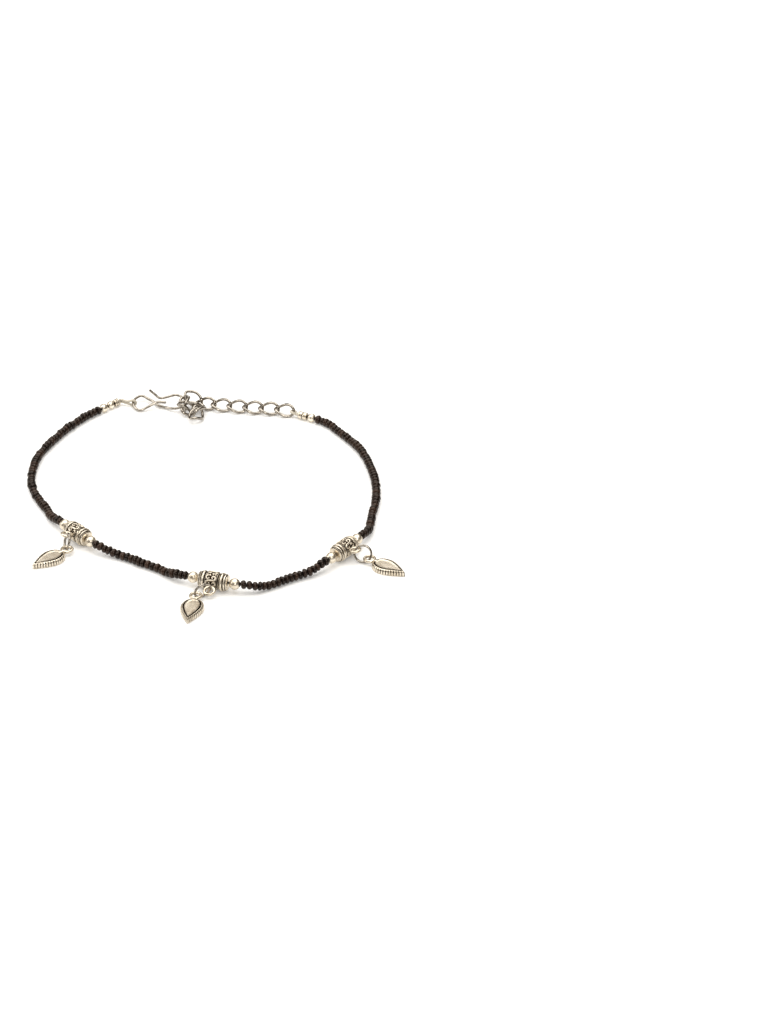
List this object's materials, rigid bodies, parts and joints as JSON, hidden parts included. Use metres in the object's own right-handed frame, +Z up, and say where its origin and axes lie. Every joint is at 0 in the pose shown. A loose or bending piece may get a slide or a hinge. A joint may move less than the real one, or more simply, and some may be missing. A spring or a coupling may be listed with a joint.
{
  "type": "anklet",
  "caption": "Payal anklet of black seed beads on one strand, with patterned silver barrels that hold leaf charms, an S-hook and an extension chain.",
  "frame": {"origin": "middle of the underside of the whole anklet's box, on the table it lies on", "axes": "+Z up from the table, +Y from the front barrel towards the clasp, +X towards the barrel on the right; the anklet's long way is front to back, its short way is up"},
  "size_m": [0.1004, 0.117, 0.0048],
  "materials": {
    "antique_silver": "cast silver, worn bright on the raised parts and blackened in the grooves",
    "bright_silver": "polished silver",
    "steel_wire": "drawn wire, slightly tarnished",
    "black_glass": "opaque black glass, glossy",
    "loop_thread": "silvery twisted thread"
  },
  "bodies": {
    "root": {"bead_string_left": "black_glass", "bead_string_right": "black_glass", "barrel_left": "antique_silver", "barrel_front": "antique_silver", "barrel_right": "antique_silver", "spacer_left_first": "bright_silver", "spacer_left_second": "bright_silver", "spacer_front_first": "bright_silver", "spacer_front_second": "bright_silver", "spacer_right_first": "bright_silver", "spacer_right_second": "bright_silver", "jump_ring_left": "steel_wire", "jump_ring_front": "steel_wire", "jump_ring_right": "steel_wire", "leaf_charm_left": "antique_silver", "leaf_charm_front": "antique_silver", "leaf_charm_right": "antique_silver", "end_bead_left": "bright_silver", "crimp_bead_left": "bright_silver", "ribbed_crimp_left": "antique_silver", "thread_loop_left": "loop_thread", "end_bead_right": "bright_silver", "crimp_tube_right": "bright_silver", "thread_loop_right": "loop_thread", "hook": "steel_wire", "chain_link_1": "steel_wire", "chain_link_2": "steel_wire", "chain_link_3": "steel_wire", "chain_link_4": "steel_wire", "chain_link_5": "steel_wire", "chain_link_6": "steel_wire", "chain_link_7": "steel_wire", "hooked_link": "steel_wire", "tail_link_1": "steel_wire", "tail_link_2": "steel_wire", "tail_link_3": "steel_wire", "tail_link_4": "steel_wire"}
  },
  "joints": []
}
